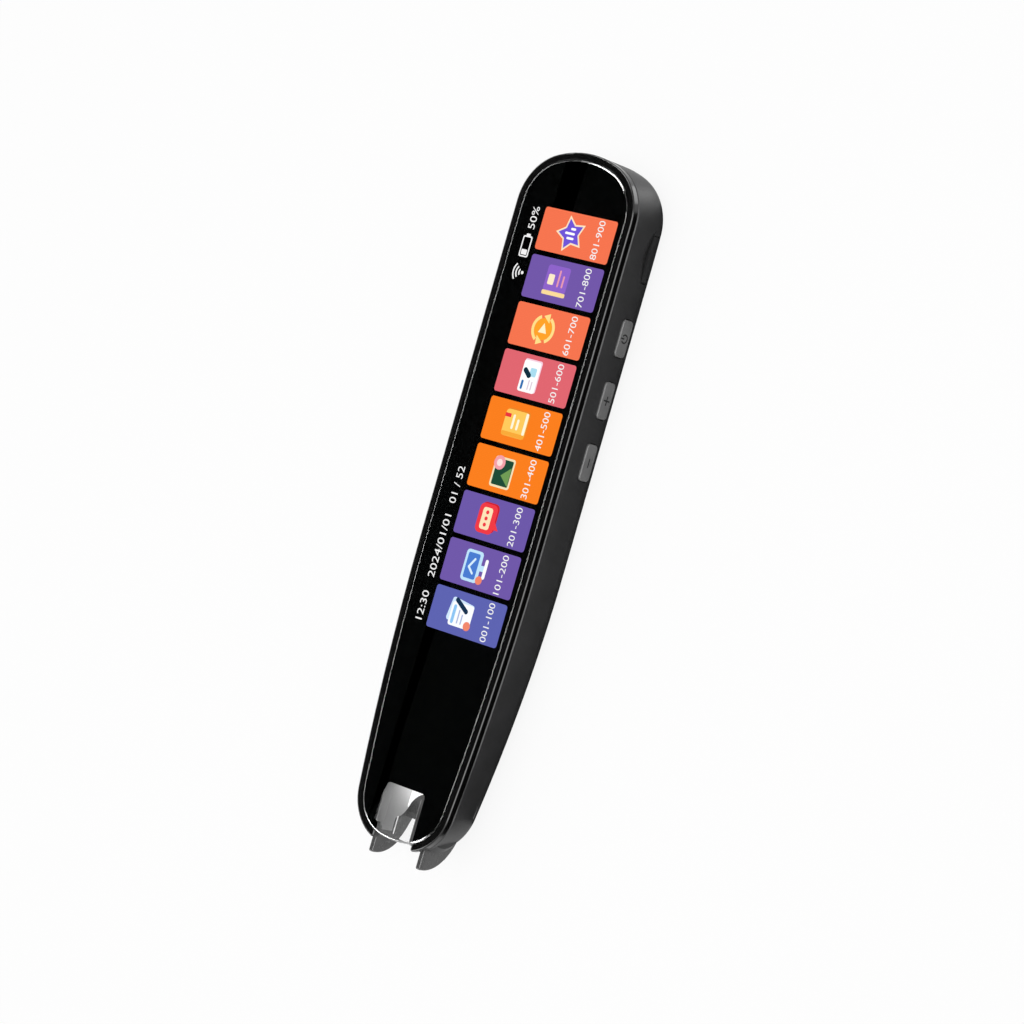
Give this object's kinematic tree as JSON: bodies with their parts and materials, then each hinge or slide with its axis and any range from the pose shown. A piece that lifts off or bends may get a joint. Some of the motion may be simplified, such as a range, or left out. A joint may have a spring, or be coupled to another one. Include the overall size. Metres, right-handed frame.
{
  "type": "handheld scanning translator",
  "caption": "Pen-shaped handheld translator with a full-face glass, a press-in scanning hood on its nose, side keys and a hinged port cover.",
  "frame": {"origin": "middle of the pen's length and width, on the flat of its back, where it lies on a table", "axes": "+Z out of the glass, +Y towards the rounded top end, -Y towards the scanning nose, +X towards the keys and the port"},
  "size_m": [0.0314, 0.1505, 0.0131],
  "materials": {
    "black_glass": "gloss",
    "gloss_black_plastic": "gloss",
    "charcoal_plastic": "satin",
    "smoke_plastic": "satin",
    "grey_key_plastic": "satin",
    "display": "gloss",
    "steel": "satin",
    "frosted_plastic": "satin",
    "circuit_board": "satin",
    "black_plastic": "satin",
    "battery_pouch": "satin",
    "lamp": "satin"
  },
  "bodies": {
    "body": {"cover_glass": "black_glass", "front_frame": "gloss_black_plastic", "rear_case": "charcoal_plastic", "display_panel": "display", "display_backplate": "steel", "light_guides": "frosted_plastic", "port_cover_pin": "steel", "nib_springs": "steel", "nib_switch": "black_plastic", "scan_camera": "black_plastic", "scan_led_board": "circuit_board", "scan_leds": "lamp", "main_board": "circuit_board", "processor_shield": "steel", "memory_chips": "black_plastic", "battery": "battery_pouch", "speaker": "black_plastic", "speaker_mesh": "steel", "microphone": "steel", "usb_port": "steel", "port_board": "circuit_board", "key_board": "circuit_board", "key_switches": "steel", "wifi_antenna": "black_plastic", "photo_camera": "black_plastic", "photo_camera_window": "black_glass", "frame_screws": "steel", "board_screws": "steel"},
    "nib": {"scan_hood": "smoke_plastic"},
    "power_key": {"power_button": "grey_key_plastic"},
    "volume_up_key": {"volume_up_button": "grey_key_plastic"},
    "volume_down_key": {"volume_down_button": "grey_key_plastic"},
    "port_flap": {"port_cover": "charcoal_plastic"}
  },
  "joints": [
    {"name": "nib_press", "type": "slide", "parent": "body", "child": "nib", "axis": [0, 1, 0], "range_m": [0, 0.0008], "stiffness_N_per_m": 700, "springref_m": -0.0004, "deforming": ["nib_springs"]},
    {"name": "power_press", "type": "slide", "parent": "body", "child": "power_key", "axis": [-1, 0, 0], "range_m": [0, 0.0003], "stiffness_N_per_m": 2500},
    {"name": "volume_up_press", "type": "slide", "parent": "body", "child": "volume_up_key", "axis": [-1, 0, 0], "range_m": [0, 0.0003], "stiffness_N_per_m": 2500},
    {"name": "volume_down_press", "type": "slide", "parent": "body", "child": "volume_down_key", "axis": [-1, 0, 0], "range_m": [0, 0.0003], "stiffness_N_per_m": 2500},
    {"name": "port_flap_hinge", "type": "hinge", "parent": "body", "child": "port_flap", "pos_m": [0.01485, 0.05305, 0.0036], "axis": [0, 0, -1], "range_deg": [0, 85]}
  ]
}
